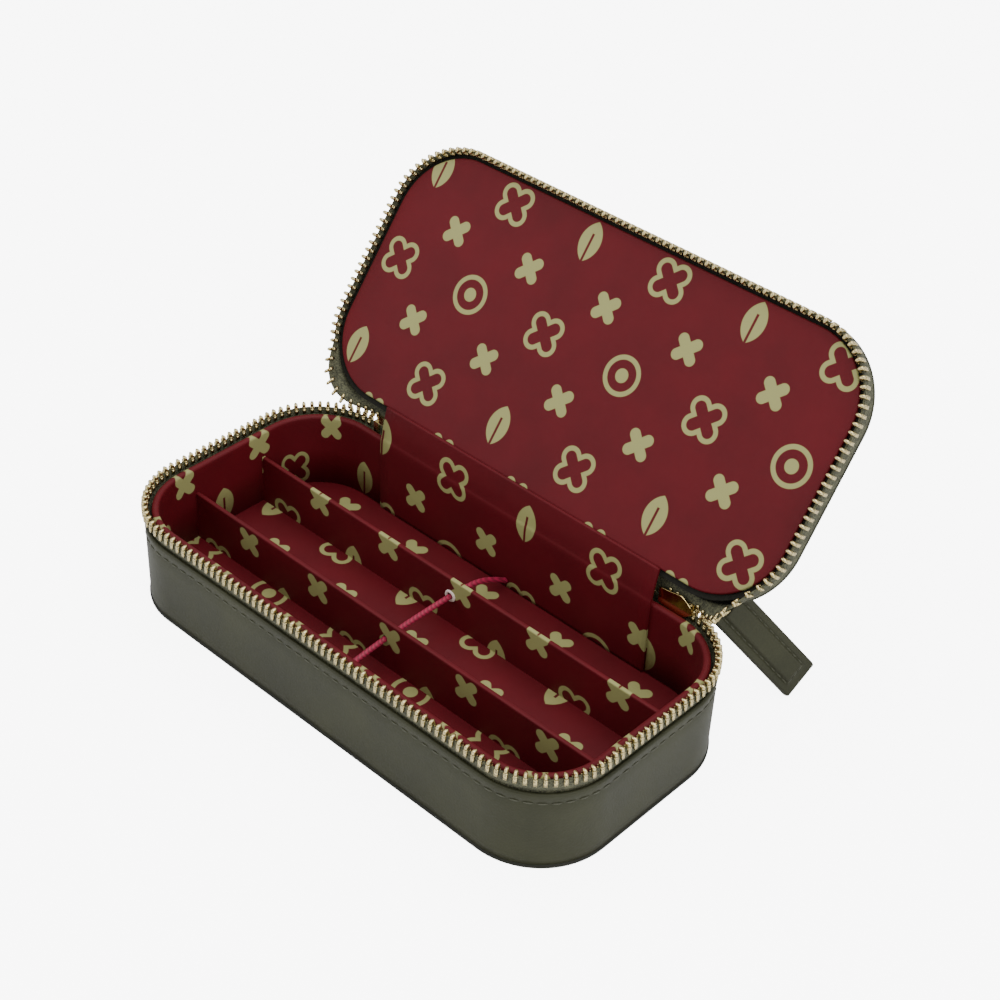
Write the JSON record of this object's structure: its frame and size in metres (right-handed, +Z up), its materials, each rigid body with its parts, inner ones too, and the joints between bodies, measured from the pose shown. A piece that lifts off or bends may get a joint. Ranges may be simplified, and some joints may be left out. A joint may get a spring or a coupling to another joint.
{
  "type": "zip-round pen case",
  "caption": "Hard zip-round pen case, lid standing open: leather shell, printed cloth lining, lengthwise dividers with an elastic cord, metal zip and strap pull.",
  "frame": {"origin": "on the ground under the middle of the case body", "axes": "+X along the case towards the zip slider, +Y towards the hinge, +Z up"},
  "size_m": [0.1814, 0.1407, 0.1131],
  "materials": {
    "leather": "smooth, slightly glossy",
    "lining": "printed cloth",
    "board": "plain, dyed black",
    "tape": "woven",
    "zip_metal": "polished pale gold",
    "elastic": "woven elastic",
    "eyelet": "glossy"
  },
  "bodies": {
    "case": {"base_bottom_panel": "leather", "base_outer_wall": "leather", "base_core_wall": "board", "base_floor_board": "board", "base_lining_wall": "lining", "base_lining_floor": "lining", "front_divider": "lining", "rear_divider": "lining", "divider_eyelet": "eyelet", "elastic_cord": "elastic", "base_zip_tape": "tape", "base_zip_teeth": "zip_metal", "zip_top_stop_base": "zip_metal", "zip_top_stop_lid": "zip_metal", "zip_bottom_stop": "zip_metal", "hinge_outer_strip": "leather", "hinge_lining_strip": "lining", "lid_tape_end_right": "tape", "lid_tape_end_left": "tape", "lid_teeth_end_right": "zip_metal", "lid_teeth_end_left": "zip_metal"},
    "lid": {"lid_outer_panel": "leather", "lid_core_board": "board", "lid_lining_panel": "lining", "lid_zip_tape": "tape", "lid_zip_teeth": "zip_metal"},
    "slider": {"slider_body": "zip_metal"},
    "ring": {"pull_ring": "zip_metal"},
    "strap": {"pull_strap_front": "leather", "pull_strap_back": "leather"}
  },
  "joints": [
    {"name": "lid_hinge", "type": "hinge", "parent": "case", "child": "lid", "pos_m": [0, 0.0425, 0.04085], "axis": [1, 0, 0], "range_deg": [0, 127.4], "deforming": ["hinge_outer_strip", "hinge_lining_strip", "lid_tape_end_right", "lid_tape_end_left", "lid_teeth_end_right", "lid_teeth_end_left"]},
    {"name": "slider_travel", "type": "hinge", "parent": "case", "child": "slider", "pos_m": [0.0655, 0.019, 0.0351], "axis": [0, 0, 1], "range_deg": [-90, 0], "deforming": ["base_zip_tape", "base_zip_teeth", "lid_zip_tape", "lid_zip_teeth"]},
    {"name": "ring_swing", "type": "hinge", "parent": "slider", "child": "ring", "pos_m": [0.0632, 0.0502, 0.0351], "axis": [1, 0, 0], "range_deg": [0, 18]},
    {"name": "strap_swing", "type": "hinge", "parent": "ring", "child": "strap", "pos_m": [0.06981, 0.05413, 0.03314], "axis": [0.4577, -0.2323, 0.8582], "range_deg": [-25, 10]}
  ]
}
